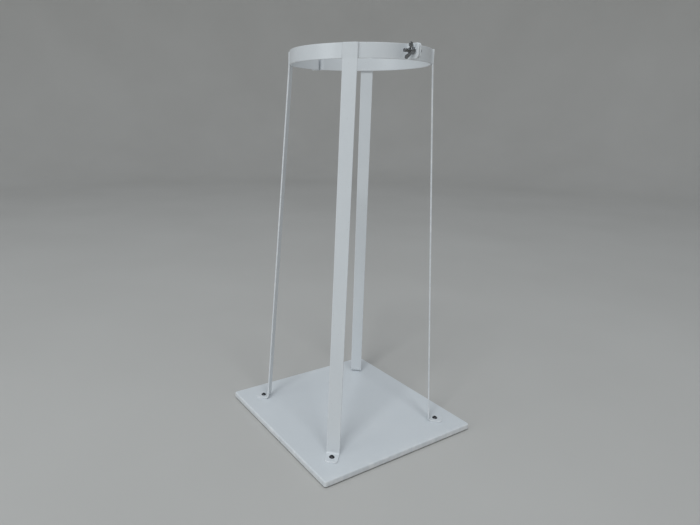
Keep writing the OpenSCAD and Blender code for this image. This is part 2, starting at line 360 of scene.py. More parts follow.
def bar_along(path, width, thickness, ease, start_r, end_r, place, step=20.0, inner_rows=6):
    """Points, faces and edge nearness of a flat bar. place maps (path x, path y, across) to space."""
    half = width / 2
    rows = path.stations(ease, start_r, end_r, step)
    offsets = [ease * s for s in EASE_STEPS] + [ease + EASE_MARGIN]
    front, back, edges = [], [], []
    for distance in rows:
        (x, y), (nx, ny) = path.at(distance)
        along = min(distance, path.length - distance)
        corner_r = start_r if distance < path.length / 2 else end_r
        reach = half
        if along < corner_r:
            reach = half - corner_r + sqrt(corner_r**2 - (corner_r - along) ** 2)
        inner = reach - offsets[-1]
        middle = [-inner + 2 * inner * i / inner_rows for i in range(1, inner_rows)]
        across = [o - reach for o in offsets] + middle + [reach - o for o in reversed(offsets)]
        for v in across:
            aside = half - abs(v)
            if along < corner_r and aside < corner_r:
                depth = corner_r - math.hypot(corner_r - along, corner_r - aside)
            else:
                depth = min(along, aside)
            depth = max(depth, 0)
            lift = thickness / 2
            if depth < ease:
                lift += sqrt(ease**2 - (ease - depth) ** 2) - ease
            front.append(place(x + nx * lift, y + ny * lift, v))
            back.append(place(x - nx * lift, y - ny * lift, v))
            edges.append(max(0.0, 1 - depth / (ease * EASE_WEAR_AND_SHEEN)))
    columns = len(across)
    count = len(front)
    faces = grid_faces(len(rows), columns)
    faces += [tuple(count + i for i in reversed(face)) for face in faces]
    for i in range(len(rows) - 1):
        for j in (0, columns - 1):
            a, b = i * columns + j, (i + 1) * columns + j
            faces.append((a, b, count + b, count + a))
    for j in range(columns - 1):
        for i in (0, len(rows) - 1):
            a, b = i * columns + j, i * columns + j + 1
            faces.append((a, b, count + b, count + a))
    return front + back, faces, edges + edges


# ---- Turned pieces: rings of points round an axis ----


def hex_radius(angle, across_flats, corner_cut=HEX_CORNER_CUT):
    """Distance from the axis to a hexagon with slightly blunted corners."""
    from_flat = (angle + pi / 6) % (pi / 3) - pi / 6
    sharp = across_flats / 2 / cos(from_flat)
    return min(sharp, across_flats / 2 / cos(pi / 6) - corner_cut)


def thread_radius(angle, z, outer, depth, pitch):
    """Distance from the axis to a right-hand thread."""
    phase = (z / pitch - angle / (2 * pi)) % 1
    ramp = abs(phase * 2 - 1)
    return outer - depth * min(1, max(0, (ramp - THREAD_CREST) / THREAD_FLANK))


def turned(rings, segments, closed=False):
    """Points and faces through rings, each a function of the angle that gives (radius, z)."""
    points = []
    for ring in rings:
        for i in range(segments):
            angle = 2 * pi * i / segments
            radius, z = ring(angle)
            points.append((radius * cos(angle), radius * sin(angle), z))
    faces = grid_faces(len(rings), segments, wrap_rows=closed, wrap_columns=True)
    if not closed:
        faces.append(tuple(reversed(range(segments))))
        faces.append(tuple(range(len(points) - segments, len(points))))
    return points, faces


def round_ring(radius, z):
    return lambda angle: (radius, z)


def profile_rings(profile):
    return [round_ring(radius, z) for radius, z in profile]


def arc_profile(centre, radius, start, end, steps):
    """Points of an arc in the plane of radius and height."""
    angles = [radians(start + (end - start) * i / steps) for i in range(steps + 1)]
    return [(centre[0] + radius * cos(a), centre[1] + radius * sin(a)) for a in angles]


def thread_rings(bottom, top, outer, depth, pitch, runout_low=0.0, runout_high=0.0):
    """Rings of a thread from bottom to top, fading out over the given lengths."""
    count = round((top - bottom) / (pitch / 8))

    def ring(z):
        fade = 1.0
        if runout_low:
            fade = min(fade, (z - bottom) / runout_low)
        if runout_high:
            fade = min(fade, (top - z) / runout_high)
        return lambda angle: (thread_radius(angle, z, outer, depth * max(fade, 0), pitch), z)

    return [ring(bottom + (top - bottom) * i / count) for i in range(count + 1)]


def moved(points, matrix):
    return [tuple(matrix @ Vector(p)) for p in points]


def at_foot(angle, z):
    """Matrix that puts a piece at a foot screw, at height z, with its +X away from the axis."""
    return Matrix.Rotation(radians(angle), 4, "Z") @ Matrix.Translation((FOOT_SCREW_R, 0, z))


def at_clamp(side, x, flip=False):
    """Matrix that lays a piece's +Z along +X, or along -X if flipped, at a clamp bolt."""
    turn = Matrix.Rotation(radians(-90 if flip else 90), 4, "Y")
    return Matrix.Translation((x, side * BOLT_Y, RING_MID_Z)) @ turn


# ---- Materials ----


class Finish:
    """Node material under construction. Noise scales are per metre, bump distances in metres."""

    def __init__(self, name, **shader):
        self.material = bpy.data.materials.new(name)
        self.material.use_nodes = True
        self.tree = self.material.node_tree
        self.tree.nodes.clear()
        self.shader = self.add("ShaderNodeBsdfPrincipled", **shader)
        output = self.add("ShaderNodeOutputMaterial")
        self.join(self.shader, "BSDF", output, "Surface")
        self.place = self.add("ShaderNodeTexCoord")

    def add(self, kind, **values):
        node = self.tree.nodes.new(kind)
        for key, value in values.items():
            socket = node.inputs.get(key.replace("_", " "))
            if socket is not None:
                socket.default_value = value
            else:
                setattr(node, key, value)
        return node

    def join(self, source, output, target, socket):
        self.tree.links.new(source.outputs[output], target.inputs[socket])

    def stretched(self, scale):
        """Object coordinates scaled by a different amount along each axis."""
        mapping = self.add("ShaderNodeMapping")
        mapping.inputs["Scale"].default_value = scale
        self.join(self.place, "Object", mapping, "Vector")
        return mapping

    def noise(self, scale, detail=2.0, roughness=0.5, vector=None, **more):
        node = self.add("ShaderNodeTexNoise", Scale=scale, Detail=detail, Roughness=roughness, **more)
        source, output = (vector, "Vector") if vector else (self.place, "Object")
        self.join(source, output, node, "Vector")
        return node

    def remap(self, source, output, low, high, to_low, to_high):
        node = self.add("ShaderNodeMapRange")
        node.inputs["From Min"].default_value = low
        node.inputs["From Max"].default_value = high
        node.inputs["To Min"].default_value = to_low
        node.inputs["To Max"].default_value = to_high
        self.join(source, output, node, "Value")
        return node

    def blend(self, factor, factor_output, first, second):
        """Mix of two colours, or of a node's colour and a colour."""
        node = self.add("ShaderNodeMix", data_type="RGBA")
        self.join(factor, factor_output, node, 0)
        for index, value in ((6, first), (7, second)):
            if isinstance(value, tuple):
                node.inputs[index].default_value = (*value, 1)
            else:
                self.tree.links.new(value.outputs[2], node.inputs[index])
        return node

    def math(self, operation, first, first_output, second, second_output="Value"):
        node = self.add("ShaderNodeMath", operation=operation)
        self.join(first, first_output, node, 0)
        if isinstance(second, (int, float)):
            node.inputs[1].default_value = second
        else:
            self.join(second, second_output, node, 1)
        return node

    def bump(self, height, output, distance, strength=1.0, after=None):
        node = self.add("ShaderNodeBump", Distance=distance, Strength=strength)
        self.join(height, output, node, "Height")
        if after:
            self.join(after, "Normal", node, "Normal")
        return node


def powder_coat(name, tints, worn_lit_edge, rough):
    """Satin powder coat: orange peel, faint clouding, fine scuffs, and edges lightened for a thinner coat
    and a painted highlight.
    """
    f = Finish(name, Coat_Weight=0.12, Coat_Roughness=0.22)
    cloud = f.noise(7, 4, 0.55)
    shade = f.remap(cloud, "Fac", 0.3, 0.7, 0, 1)
    base = f.blend(shade, "Result", *tints)
    # Lightening along the eased edges: partly thinner coat, partly a painted highlight on the rounded edges.
    edge = f.add("ShaderNodeAttribute", attribute_name="edge")
    patch = f.noise(90, 4, 0.6)
    spread = f.remap(patch, "Fac", 0.42, 0.72, 0, 1)
    edge_wear_and_sheen = f.math("MULTIPLY", edge, "Fac", spread, "Result")
    base = f.blend(edge_wear_and_sheen, "Value", base, worn_lit_edge)
    specks = f.noise(420, 2, 0.4)
    speck = f.remap(specks, "Fac", 0.72, 0.78, 0, 0.4)
    base = f.blend(speck, "Result", base, (0.42, 0.42, 0.41))
    f.tree.links.new(base.outputs[2], f.shader.inputs["Base Color"])
    scuffs = f.noise(24, 6, 0.75, vector=f.stretched((1, 1, 0.12)))
    dull = f.remap(scuffs, "Fac", 0.35, 0.7, rough - 0.05, rough + 0.1)
    f.join(dull, "Result", f.shader, "Roughness")
    peel = f.noise(520, 2, 0.45)
    grain = f.noise(2600, 2, 0.5)
    first = f.bump(peel, "Fac", 0.00016, 0.7)
    second = f.bump(grain, "Fac", 0.00002, 0.6, after=first)
    f.join(second, "Normal", f.shader, "Normal")
    return f.material


def painted_board():
    """Sprayed and rolled satin paint on a smooth board: stipple, faint roller lanes, rubbed edges lightened
    further as a painted highlight.
    """
    f = Finish("board_paint", Coat_Weight=0.08, Coat_Roughness=0.3)
    cloud = f.noise(5, 4, 0.6)
    shade = f.remap(cloud, "Fac", 0.3, 0.7, 0, 1)
    base = f.blend(shade, "Result", (0.72, 0.75, 0.775), (0.75, 0.777, 0.8))
    # Near-white along the eased edges: rubbed paint and a painted highlight on the rounded edge.
    edge = f.add("ShaderNodeAttribute", attribute_name="edge")
    patch = f.noise(60, 4, 0.6)
    spread = f.remap(patch, "Fac", 0.4, 0.7, 0.1, 0.9)
    edge_wear_and_sheen = f.math("MULTIPLY", edge, "Fac", spread, "Result")
    base = f.blend(edge_wear_and_sheen, "Value", base, (0.92, 0.925, 0.93))
    specks = f.noise(260, 2, 0.4)
    speck = f.remap(specks, "Fac", 0.75, 0.81, 0, 0.3)
    base = f.blend(speck, "Result", base, (0.4, 0.39, 0.37))
    f.tree.links.new(base.outputs[2], f.shader.inputs["Base Color"])
    lanes = f.noise(14, 5, 0.6, vector=f.stretched((0.15, 1, 1)))
    dull = f.remap(lanes, "Fac", 0.3, 0.7, 0.36, 0.5)
    f.join(dull, "Result", f.shader, "Roughness")
    stipple = f.noise(330, 3, 0.5)
    fine = f.noise(1500, 2, 0.5)
    first = f.bump(stipple, "Fac", 0.00016, 0.65)
    second = f.bump(fine, "Fac", 0.00003, 0.5, after=first)
    f.join(second, "Normal", f.shader, "Normal")
    return f.material


def metal(name, tints, stain, rough, grain):
    """Bare or plated metal: mottled tint, stains, uneven polish, and grain of a scale and depth."""
    f = Finish(name, Metallic=1.0)
    mottle = f.noise(160, 5, 0.6)
    shade = f.remap(mottle, "Fac", 0.3, 0.7, 0, 1)
    base = f.blend(shade, "Result", *tints)
    stains = f.noise(380, 4, 0.65)
    spread = f.remap(stains, "Fac", 0.56, 0.72, 0, 0.6)
    base = f.blend(spread, "Result", base, stain)
    f.tree.links.new(base.outputs[2], f.shader.inputs["Base Color"])
    polish = f.noise(240, 4, 0.6)
    dull = f.remap(polish, "Fac", 0.3, 0.7, *rough)
    f.join(dull, "Result", f.shader, "Roughness")
    scale, depth = grain
    marks = f.noise(scale, 3, 0.55)
    relief = f.bump(marks, "Fac", depth, 0.6)
    f.join(relief, "Normal", f.shader, "Normal")
    return f.material


def moulded(name, tints, rough, grain):
    """Rubber or plastic: cloudy tint, uneven dullness, and moulded grain of a scale and depth."""
    f = Finish(name)
    cloud = f.noise(220, 4, 0.6)
    shade = f.remap(cloud, "Fac", 0.35, 0.7, 0, 1)
    base = f.blend(shade, "Result", *tints)
    f.tree.links.new(base.outputs[2], f.shader.inputs["Base Color"])
    dull = f.remap(cloud, "Fac", 0.3, 0.7, *rough)
    f.join(dull, "Result", f.shader, "Roughness")
    scale, depth = grain
    marks = f.noise(scale, 3, 0.6)
    relief = f.bump(marks, "Fac", depth, 0.7)
    f.join(relief, "Normal", f.shader, "Normal")
    return f.material


def floor_finish():
    f = Finish("floor_paper", Roughness=0.85)
    cloud = f.noise(1.5, 3, 0.5)
    shade = f.remap(cloud, "Fac", 0.3, 0.7, 0, 1)
    base = f.blend(shade, "Result", (0.56, 0.545, 0.52), (0.59, 0.575, 0.55))
    f.tree.links.new(base.outputs[2], f.shader.inputs["Base Color"])
    grain = f.noise(700, 3, 0.6)
    relief = f.bump(grain, "Fac", 0.0001, 0.3)
    f.join(relief, "Normal", f.shader, "Normal")
    return f.material


WHITE = powder_coat(
    "white_powder_coat",
    tints=((0.735, 0.762, 0.787), (0.765, 0.789, 0.81)),
    # Lighter edge colour: worn coat plus a painted highlight.
    worn_lit_edge=(0.9, 0.91, 0.915),
    rough=0.36,
)
BOARD = painted_board()
BLACK_OXIDE = metal(
    "black_oxide",
    tints=((0.045, 0.045, 0.049), (0.085, 0.085, 0.09)),
    stain=(0.09, 0.085, 0.08),
    rough=(0.24, 0.45),
    grain=(1800, 0.00002),
)
ZINC = metal(
    "zinc_plate",
    tints=((0.5, 0.51, 0.53), (0.62, 0.62, 0.62)),
    stain=(0.42, 0.4, 0.34),
    rough=(0.24, 0.4),
    grain=(1500, 0.00002),
)
# Dark grey tint is painted shade and a painted dark reflection, as in shadowed threads; bare steel itself is
# brighter.
BOLT_STEEL_DARK_REFLECTION = metal(
    "bolt_steel_dark_reflection",
    tints=((0.16, 0.165, 0.17), (0.26, 0.26, 0.265)),
    stain=(0.1, 0.095, 0.085),
    rough=(0.2, 0.36),
    grain=(1800, 0.00002),
)
# Dark grey tint is a painted dark reflection of the surroundings; bare nickel itself is brighter.
NICKEL_DARK_REFLECTION = metal(
    "cast_nickel_dark_reflection",
    tints=((0.22, 0.226, 0.234), (0.33, 0.337, 0.346)),
    stain=(0.12, 0.117, 0.11),
    rough=(0.16, 0.3),
    grain=(900, 0.00003),
)
RUBBER = moulded(
    "pad_rubber",
    tints=((0.02, 0.02, 0.021), (0.045, 0.045, 0.045)),
    rough=(0.74, 0.88),
    grain=(1600, 0.00004),
)
NYLON = moulded(
    "nylon_insert",
    tints=((0.05, 0.14, 0.3), (0.07, 0.18, 0.36)),
    rough=(0.39, 0.53),
    grain=(2000, 0.00001),
)
PAPER = floor_finish()


# ---- Pieces ----


def make_board():
    path = Path([("line", (-BOARD_W / 2, PAD_T + BOARD_T / 2), (BOARD_W / 2, PAD_T + BOARD_T / 2))])
    points, faces, edges = bar_along(
        path,
        BOARD_W,
        BOARD_T,
        BOARD_EDGE_R,
        BOARD_CORNER_R,
        BOARD_CORNER_R,
        lambda x, y, v: (x, v, y),
        inner_rows=18,
    )
    board = make_object("board", points, faces, BOARD, "stand", ["base_board"], edges)
    holes = []
    for angle in LEG_ANGLES.values():
        x, y = FOOT_SCREW_R * cos(radians(angle)), FOOT_SCREW_R * sin(radians(angle))
        holes.append(((x, y, PAD_T), (0, 0, 1), TEE_FLANGE_R + HAIR, 2 * (TEE_FLANGE_T + HAIR)))
        holes.append(((x, y, PAD_T + BOARD_T / 2), (0, 0, 1), TEE_BARREL_R + HAIR, BOARD_T + 2))
    cut_holes(board, holes)


def make_pads():
    """Stick-on pads with moulded rings in their undersides."""
    profile = [(0.4, PAD_FACE_Z)]
    for radius in PAD_GROOVES:
        profile += [(radius - 0.5, PAD_FACE_Z), (radius - 0.25, PAD_GROOVE_Z)]
        profile += [(radius + 0.25, PAD_GROOVE_Z), (radius + 0.5, PAD_FACE_Z)]
    bottom_r, top_r = PAD_BOTTOM_EDGE_R, PAD_TOP_EDGE_R
    profile += [(9.2, PAD_FACE_Z), (9.6, HAIR)]
    profile += arc_profile((PAD_R - bottom_r, bottom_r), bottom_r, -90, 0, 6)
    profile += arc_profile((PAD_R - top_r, PAD_T - top_r), top_r, 0, 90, 5)
    profile += [(0.4, PAD_T)]
    reach = (BOARD_W / 2 - PAD_INSET) * sqrt(2)
    for name, angle in LEG_ANGLES.items():
        points, faces = turned(profile_rings(profile), 72)
        place = Matrix.Rotation(radians(angle), 4, "Z") @ Matrix.Translation((reach, 0, 0))
        make_object(
            f"pad_{name}", moved(points, place), faces, RUBBER, "stand", [f"rubber_pad_{name}"]
        )


def tee_flange_ring(radius, z):
    """Ring of a tee nut's flange, which is punched out beside each prong."""

    def at(angle):
        from_prong = abs((angle + pi / 4) % (pi / 2) - pi / 4)
        punched = TEE_NOTCH < from_prong < TEE_NOTCH * 2.2
        return (radius - TEE_NOTCH_DEPTH if punched else radius), z

    return at


def tee_prong():
    """Points and faces of a tee nut's prong at +X, from its root in the flange up to its point."""
    outer = TEE_FLANGE_R - TEE_PRONG_INSET
    inner = outer - TEE_PRONG_T
    wide, narrow = TEE_PRONG_W / 2, TEE_POINT_W / 2
    levels = [(0.5, 0, wide), (3.5, 0, wide), (TEE_FLANGE_T + TEE_PRONG_H, 0.3, narrow)]
    points = []
    for z, thin, half in levels:
        points += [(inner + thin, -half, z), (outer - thin, -half, z)]
        points += [(outer - thin, half, z), (inner + thin, half, z)]
    faces = grid_faces(len(levels), 4, wrap_columns=True)
    return points, faces + [(0, 1, 2, 3), (8, 9, 10, 11)]


def make_tee_nuts():
    bore = NUT_BORE_R
    rings = [round_ring(bore + 0.35, HAIR)]
    rings += thread_rings(0.5, TEE_BARREL_H - 0.4, bore + HAIR, 0.45, THREAD_PITCH)
    rings += profile_rings([(bore + 0.3, TEE_BARREL_H - 0.05), (TEE_BARREL_R - 0.25, TEE_BARREL_H)])
    rings += profile_rings([(TEE_BARREL_R - HAIR, TEE_BARREL_H - 0.3), (TEE_BARREL_R - HAIR, 2.3)])
    rings += profile_rings([(TEE_BARREL_R + 0.2, 1.7), (TEE_BARREL_R + 0.6, TEE_FLANGE_T)])
    rings += [tee_flange_ring(TEE_FLANGE_R - 0.3, TEE_FLANGE_T)]
    rings += [tee_flange_ring(TEE_FLANGE_R, TEE_FLANGE_T - 0.3), tee_flange_ring(TEE_FLANGE_R, 0.35)]
    rings += [tee_flange_ring(TEE_FLANGE_R - 0.12, 0.12), tee_flange_ring(TEE_FLANGE_R - 0.4, HAIR)]
    rings += [round_ring(bore + 1.2, HAIR), round_ring(bore + 0.7, HAIR)]
    prong_points, prong_faces = tee_prong()
    for name, angle in LEG_ANGLES.items():
        points, faces = turned(rings, 96, closed=True)
        for quarter in range(4):
            first = len(points)
            points += moved(prong_points, Matrix.Rotation(quarter * pi / 2, 4, "Z"))
            faces += [tuple(first + k for k in face) for face in prong_faces]
        place = at_foot(angle, PAD_T)
        make_object(
            f"tee_{name}", moved(points, place), faces, ZINC, "stand", [f"tee_nut_{name}"]
        )


def socket_ring(shrink, z):
    """Ring of a foot screw's hexagon socket."""
    return lambda angle: (hex_radius(angle, BUTTON_SOCKET_AF, 0.02) - shrink, z)


def make_foot_screws():
    """Button-head screws, each stopped at its own turn."""
    dome_r = (BUTTON_HEAD_R**2 + BUTTON_HEAD_H**2) / (2 * BUTTON_HEAD_H)
    rim = BUTTON_SOCKET_AF / 2 / cos(pi / 6)
    rings = profile_rings([(0.3, -FOOT_SCREW_L), (THREAD_R - 0.75, -FOOT_SCREW_L)])
    rings += thread_rings(0.3 - FOOT_SCREW_L, -0.5, THREAD_R, THREAD_DEPTH, THREAD_PITCH, 0, 0.6)
    rings += profile_rings([(THREAD_R, -0.02), (THREAD_R + 0.3, 0.0), (BUTTON_HEAD_R - 0.3, 0.0)])
    rings += profile_rings([(BUTTON_HEAD_R - 0.1, 0.06), (BUTTON_HEAD_R - 0.02, 0.2)])
    outer, inner, steps = BUTTON_HEAD_R - 0.05, rim + 0.42, 9
    for i in range(steps + 1):
        radius = outer + (inner - outer) * i / steps
        z = BUTTON_HEAD_H - dome_r + sqrt(dome_r**2 - radius**2)
        rings.append(round_ring(radius, max(z, 0.3)))
    top = BUTTON_HEAD_H - 0.12
    floor = BUTTON_HEAD_H - BUTTON_SOCKET_DEPTH
    rings += profile_rings([(rim + 0.2, top - 0.04), (rim + 0.06, top - 0.14)])
    rings += [socket_ring(-0.02, top - 0.3), socket_ring(0, top - 0.42), socket_ring(0, floor + 0.15)]
    rings += [socket_ring(0.12, floor + 0.02)]
    rings += profile_rings([(BUTTON_SOCKET_AF / 2 - 0.3, floor), (0.2, floor - 0.4)])
    for name, angle in LEG_ANGLES.items():
        points, faces = turned(rings, 72)
        place = at_foot(angle, FOOT_TOP) @ Matrix.Rotation(radians(angle * SCREW_TURN_SHARE), 4, "Z")
        make_object(
            f"button_screw_{name}",
            moved(points, place),
            faces,
            BLACK_OXIDE,
            "stand",
            [f"foot_screw_{name}"],
        )


def leg_path():
    """Centre line of a leg from its top to its toe, as (distance from the axis, height)."""
    heel = (FOOT_SCREW_R - FOOT_HEEL, FOOT_TOP)
    kink = (LEG_OUT_R, RING_Z)
    lean = math.atan2(heel[0] - kink[0], kink[1] - heel[1])
    middle = STRAP_T / 2
    upper = (kink[0] - middle, kink[1] - middle * tan(lean / 2))
    foot_z = BOARD_TOP + middle
    inner_heel = heel[0] + (FOOT_TOP - foot_z) * tan(lean) - middle / cos(lean)
    points = [(LEG_OUT_R - middle, STAND_H), upper, (inner_heel, foot_z), (TOE_R, foot_z)]
    return Path(rounded_polyline(points, [KINK_R, FOOT_BEND_R + middle]))


def make_legs():
    path = leg_path()
    for name, angle in LEG_ANGLES.items():
        c, s = cos(radians(angle)), sin(radians(angle))
        points, faces, edges = bar_along(
            path,
            STRAP_W,
            STRAP_T,
            STRAP_EASE,
            LEG_TOP_CORNER_R,
            FOOT_CORNER_R,
            lambda x, y, v, c=c, s=s: (x * c - v * s, x * s + v * c, y),
        )
        leg = make_object(
            f"strap_{name}", points, faces, WHITE, "stand", [f"leg_{name}"], edges
        )
        hole = ((FOOT_SCREW_R * c, FOOT_SCREW_R * s, FOOT_TOP), (0, 0, 1), BOLT_HOLE_R, 10)
        cut_holes(leg, [hole])


def bead_section(z):
    """Outline of a bead, z above the band's lower edge, as (distance from the axis, sideways)."""
    end = min(z, BAND_H - z) / WELD_END
    full = sqrt(max(0.05, 1 - (1 - min(end, 1)) ** 2))
    strap_edge = STRAP_W / 2
    start_y = strap_edge - WELD_DEPTH
    end_y = strap_edge + WELD_SIZE * full
    wedge_x = sqrt(BAND_OUT_R**2 - start_y**2)
    on_strap = Vector((LEG_IN_R + WELD_SIZE * full, strap_edge - 0.1))
    on_band = Vector((sqrt(BAND_OUT_R**2 - end_y**2) - 0.08, end_y))
    outline = [(wedge_x - 0.3, start_y), (LEG_IN_R + 0.1, start_y), (LEG_IN_R + 0.1, strap_edge - 0.15)]
    for k in range(WELD_FACE_STEPS + 1):
        share = k / WELD_FACE_STEPS
        bow = 1 - (2 * share - 1) ** 2
        phase = (z / WELD_RIPPLE_PITCH + 0.45 * bow) % 1
        ripple = WELD_RIPPLE * (1 - phase) ** 1.5 * (0.35 + 0.65 * bow)
        point = on_strap.lerp(on_band, share) + WELD_OUTWARD * ((WELD_CROWN * full + ripple) * bow)
        outline.append(tuple(point))
    return outline + [(on_band.x - 0.5, end_y), (wedge_x - 0.6, strap_edge - 0.4)]


def make_welds():
    """Rippled beads in the wedges between each leg's edges and the band."""
    for name, angle in LEG_ANGLES.items():
        turn = Matrix.Rotation(radians(angle), 4, "Z")
        points, faces = [], []
        for side in (-1, 1):
            first = len(points)
            for i in range(WELD_ROWS):
                z = 0.25 + (BAND_H - 0.5) * i / (WELD_ROWS - 1)
                points += moved([(x, side * y, RING_Z + z) for x, y in bead_section(z)], turn)
            columns = (len(points) - first) // WELD_ROWS
            faces += grid_faces(WELD_ROWS, columns, wrap_columns=True, first=first)
            faces.append(tuple(range(first, first + columns)))
            faces.append(tuple(range(len(points) - columns, len(points))))
        make_object(
            f"bead_{name}", points, faces, WHITE, "stand", [f"leg_weld_{name}"]
        )


def half_ring_path():
    """Centre line of the half ring at -X, from its front ear to its rear ear, seen from above."""
    middle = BAND_T / 2
    bend_reach = BAND_OUT_R + EAR_BEND_R

    def bend(gap):
        turn = math.asin((gap / 2 + BAND_T + EAR_BEND_R) / bend_reach)
        return math.degrees(turn), -bend_reach * sin(turn), bend_reach * cos(turn)

    front_turn, front_x, front_y = bend(FRONT_GAP)
    rear_turn, rear_x, rear_y = bend(REAR_GAP)
    front_face = -FRONT_GAP / 2 - middle
    rear_face = -REAR_GAP / 2 - middle
    tip = BAND_OUT_R + EAR_L
    return Path(
        [
            ("line", (front_face, -tip), (front_face, -front_y)),
            ("arc", (front_x, -front_y), EAR_BEND_R + middle, 0, 90 - front_turn),
            ("arc", (0, 0), RING_R + middle, 270 - front_turn, 90 + rear_turn),
            ("arc", (rear_x, rear_y), EAR_BEND_R + middle, rear_turn - 90, 0),
            ("line", (rear_face, rear_y), (rear_face, tip)),
        ]
    )


def make_ring():
    path = half_ring_path()
    for name, mirror in (("left", 1), ("right", -1)):
        points, faces, edges = bar_along(
            path,
            BAND_H,
            BAND_T,
            STRAP_EASE,
            EAR_CORNER_R,
            EAR_CORNER_R,
            lambda x, y, v, m=mirror: (m * x, y, RING_MID_Z + v),
        )
        half = make_object(
            f"band_{name}", points, faces, WHITE, "stand", [f"ring_half_{name}"], edges
        )
        holes = []
        for side, face in ((-1, FRONT_EAR_FACE), (1, REAR_EAR_FACE)):
            centre = (-mirror * face, side * BOLT_Y, RING_MID_Z)
            holes.append((centre, (1, 0, 0), BOLT_HOLE_R, 2 * face))
        cut_holes(half, holes)


def hex_rings(bottom, top, chamfer_low, chamfer_high):
    """Rings of a hexagon whose corners are turned down to a cone at the chamfered ends."""
    inset = HEX_AF / 2 - HEX_CHAMFER_INSET

    def ring(share):
        def at(angle):
            radius = hex_radius(angle, HEX_AF)
            drop = max(0, radius - inset) * HEX_CHAMFER_SLOPE
            low = bottom + (drop if chamfer_low else 0)
            high = top - (drop if chamfer_high else 0)
            return radius, low + (high - low) * share

        return at

    rings = []
    if chamfer_low:
        rings.append(round_ring(inset, bottom))
    rings += [ring(s) for s in (0, 0.03, 0.97, 1)]
    if chamfer_high:
        rings.append(round_ring(inset, top))
    return rings


def make_bolt(name, length, place, replaced):
    """Hexagon bolt along +Z from its tip at -length, fully threaded to near its head."""
    rings = profile_rings([(0.3, -length), (THREAD_R - 0.8, -length)])
    rings += thread_rings(0.45 - length, -2.0, THREAD_R, THREAD_DEPTH, THREAD_PITCH, 0.5, 1.2)
    rings += profile_rings([(THREAD_R - HAIR, -1.6), (THREAD_R - HAIR, -0.2), (THREAD_R + 0.15, 0.0)])
    rings += profile_rings([(HEX_AF / 2 - 0.45, 0.0), (HEX_AF / 2 - 0.3, 0.35)])
    rings += hex_rings(0.35, BOLT_HEAD_H, False, True)
    rings += profile_rings([(HEX_AF / 2 - 0.6, BOLT_HEAD_H), (3.0, BOLT_HEAD_H - 0.12)])
    rings += profile_rings([(0.3, BOLT_HEAD_H - 0.14)])
    points, faces = turned(rings, 72)
    make_object(name, moved(points, place), faces, BOLT_STEEL_DARK_REFLECTION, "stand", [replaced])


def make_washer(name, place, body, replaced):
    """Punched washer: rolled over on one face, sharper on the other."""
    rolled, bore_rolled, sharp = WASHER_ROLLED_R, WASHER_BORE_ROLLED_R, WASHER_SHARP_R
    profile = arc_profile((WASHER_R - rolled, rolled), rolled, -90, 0, 4)
    profile += arc_profile((WASHER_R - sharp, WASHER_T - sharp), sharp, 0, 90, 3)
    profile += [(WASHER_R - 1.2, WASHER_T), (WASHER_BORE_R + 0.6, WASHER_T)]
    profile += arc_profile((WASHER_BORE_R + sharp, WASHER_T - sharp), sharp, 90, 180, 3)
    profile += arc_profile((WASHER_BORE_R + bore_rolled, bore_rolled), bore_rolled, 180, 270, 4)
    profile += [(WASHER_BORE_R + 0.9, 0.0), (WASHER_R - 0.9, 0.0)]
    points, faces = turned(profile_rings(profile), 72, closed=True)
    make_object(name, moved(points, place), faces, ZINC, body, [replaced])


def make_lock_nut():
    """Hexagon nut with a rolled collar that holds a nylon ring."""
    collar_r = HEX_AF / 2 - 0.4
    body_h = LOCK_NUT_H - LOCK_NUT_COLLAR_H
    rings = profile_rings([(NUT_BORE_R + 0.7, 0.0)])
    rings += hex_rings(0.0, body_h, True, True)
    rings += profile_rings([(collar_r, body_h + HAIR), (collar_r, LOCK_NUT_H - 0.5)])
    rings += profile_rings(arc_profile((collar_r - 0.5, LOCK_NUT_H - 0.5), 0.5, 0, 90, 6))
    rings += profile_rings([(collar_r - 0.9, LOCK_NUT_H - 0.15), (collar_r - 0.9, body_h - 0.6)])
    rings += profile_rings([(NUT_BORE_R + HAIR, body_h - 0.6)])
    rings += reversed(thread_rings(0.6, body_h - 0.7, NUT_BORE_R + 0.4, 0.35, THREAD_PITCH))
    place = at_clamp(1, -REAR_EAR_FACE - WASHER_T, flip=True)
    points, faces = turned(rings, 72, closed=True)
    make_object("lock_nut", moved(points, place), faces, ZINC, "stand", ["rear_nut"])
    outer, inner, low, high = collar_r - 0.92, NUT_BORE_R + 0.01, body_h - 0.58, LOCK_NUT_H - 0.3
    profile = [(outer, low), (outer, high - 0.1), (outer - 0.15, high), (inner + 0.25, high)]
    profile += [(inner, high - 0.25), (inner, low)]
    points, faces = turned(profile_rings(profile), 72, closed=True)
    make_object("nylon_ring", moved(points, place), faces, NYLON, "stand")


def wing_outline():
    """Round-ended outline of one wing as (distance from the axis, height)."""
    c1, c2 = Vector(WING_ROOT_C), Vector(WING_TIP_C)
    run = c2 - c1
    heading = math.degrees(math.atan2(run.y, run.x))
    spread = math.degrees(math.acos((WING_ROOT_R - WING_TIP_R) / run.length))
    outline = arc_profile(WING_ROOT_C, WING_ROOT_R, heading + spread, heading + 360 - spread, 20)
    outline += arc_profile(WING_TIP_C, WING_TIP_R, heading - spread, heading + spread, 24)
    return outline


def wing_layers():
    """Points of a wing at +X in four layers across its thickness, which is greatest at the root."""
    outline = wing_outline()
    centre = Vector(WING_ROOT_C).lerp(Vector(WING_TIP_C), 0.5)
    face, edge = (WING_FACE_SHARE, 1), (1, WING_EDGE_LEVEL)
    layers = []
    for share, level, side in ((*face, 1), (*edge, 1), (*edge, -1), (*face, -1)):
        layer = []
        for x, z in outline:
            taper = WING_ROOT_LEVEL - WING_TAPER * min(1, max(0, (x - WING_TAPER_START) / WING_TAPER_L))
            out = max(centre.x + (x - centre.x) * share, NUT_BORE_R + 0.5)
            layer.append((out, side * level * WING_T / 2 * taper, centre.y + (z - centre.y) * share))
        layers.append(layer)
    return layers


